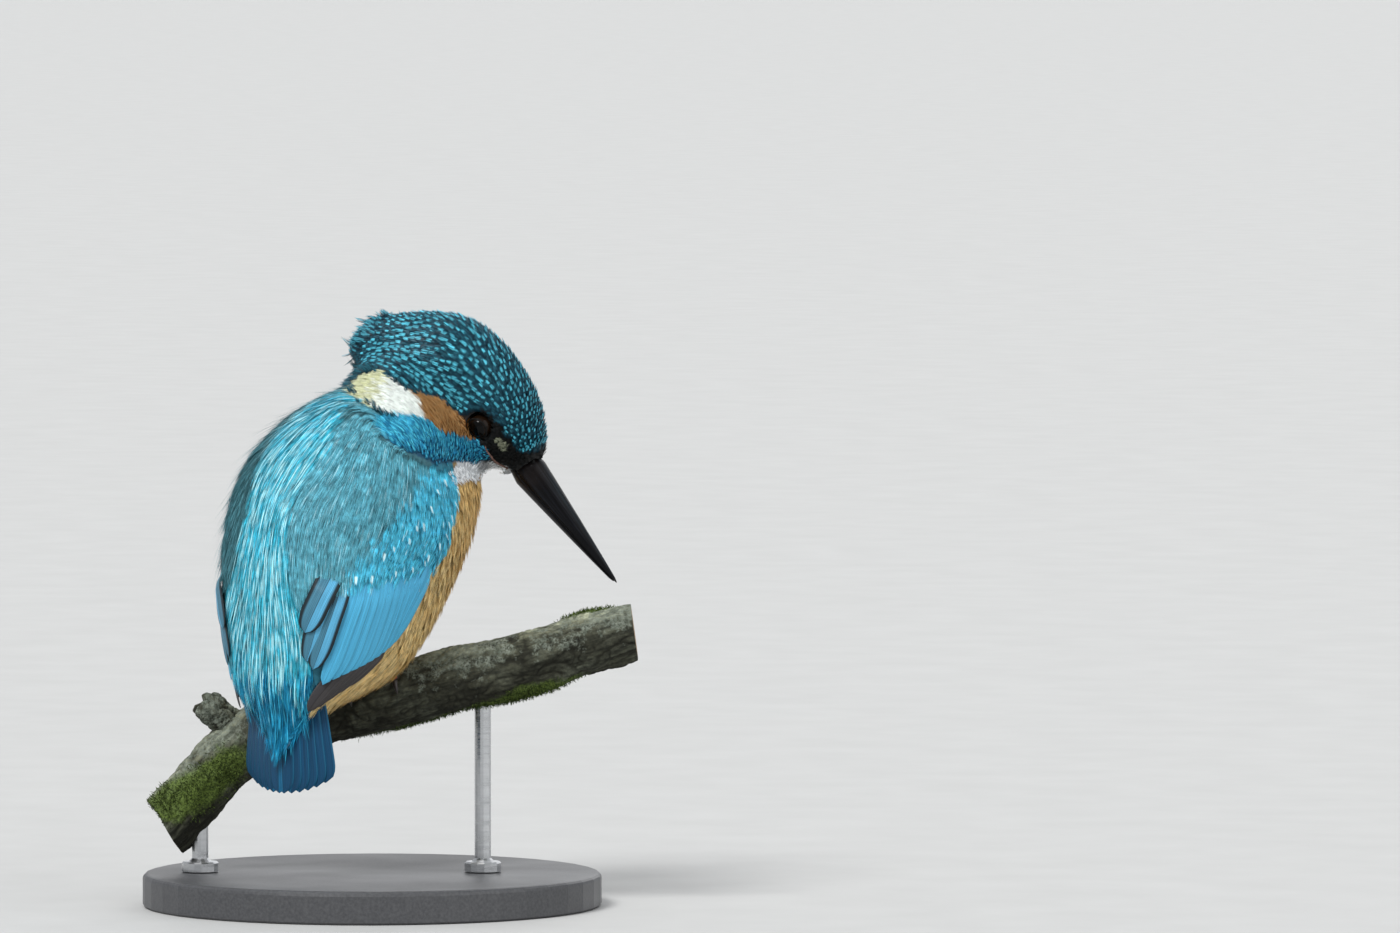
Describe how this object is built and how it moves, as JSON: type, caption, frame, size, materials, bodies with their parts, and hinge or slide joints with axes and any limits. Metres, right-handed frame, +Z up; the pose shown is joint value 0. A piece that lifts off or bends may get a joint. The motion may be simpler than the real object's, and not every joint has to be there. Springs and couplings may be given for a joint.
{
  "type": "perched kingfisher model",
  "caption": "Life-size still kingfisher looking down from a cut length of branch, held by rods on a round display base.",
  "frame": {"origin": "centre of the round base's underside, straight below the feet", "axes": "+Z up; the bird's body faces -Y, so its right side is at -X; the head is turned to the bird's right and looks down; the branch rises towards -X and -Y"},
  "size_m": [0.112, 0.112, 0.145],
  "materials": {
    "crown_feathers": "dark teal feathers spotted with cyan",
    "neck_feathers": "teal, white and rufous feathers",
    "body_feathers": "orange breast and turquoise back feathers",
    "wing_feathers": "blue-green feathers with pale spots",
    "tail_feathers": "deep blue feathers",
    "bill_horn": "black horn with a dull sheen",
    "eye": "wet dark brown",
    "foot_skin": "red scaly skin",
    "claw_horn": "dark horn",
    "bark": "grey-brown bark with lichen and moss",
    "stand_base": "satin dark grey paint",
    "stand_rod": "brushed"
  },
  "bodies": {
    "root": {"head": "crown_feathers", "neck": "neck_feathers", "trunk": "body_feathers", "tail": "tail_feathers", "wing_left": "wing_feathers", "wing_right": "wing_feathers", "bill_upper": "bill_horn", "bill_lower": "bill_horn", "eye_left": "eye", "eye_right": "eye", "foot_left": "foot_skin", "foot_right": "foot_skin", "claw_left_inner": "claw_horn", "claw_left_middle": "claw_horn", "claw_left_outer": "claw_horn", "claw_left_hind": "claw_horn", "claw_right_inner": "claw_horn", "claw_right_middle": "claw_horn", "claw_right_outer": "claw_horn", "claw_right_hind": "claw_horn", "perch": "bark", "stand_base": "stand_base", "stand_rod_low": "stand_rod", "stand_rod_high": "stand_rod"}
  },
  "joints": []
}
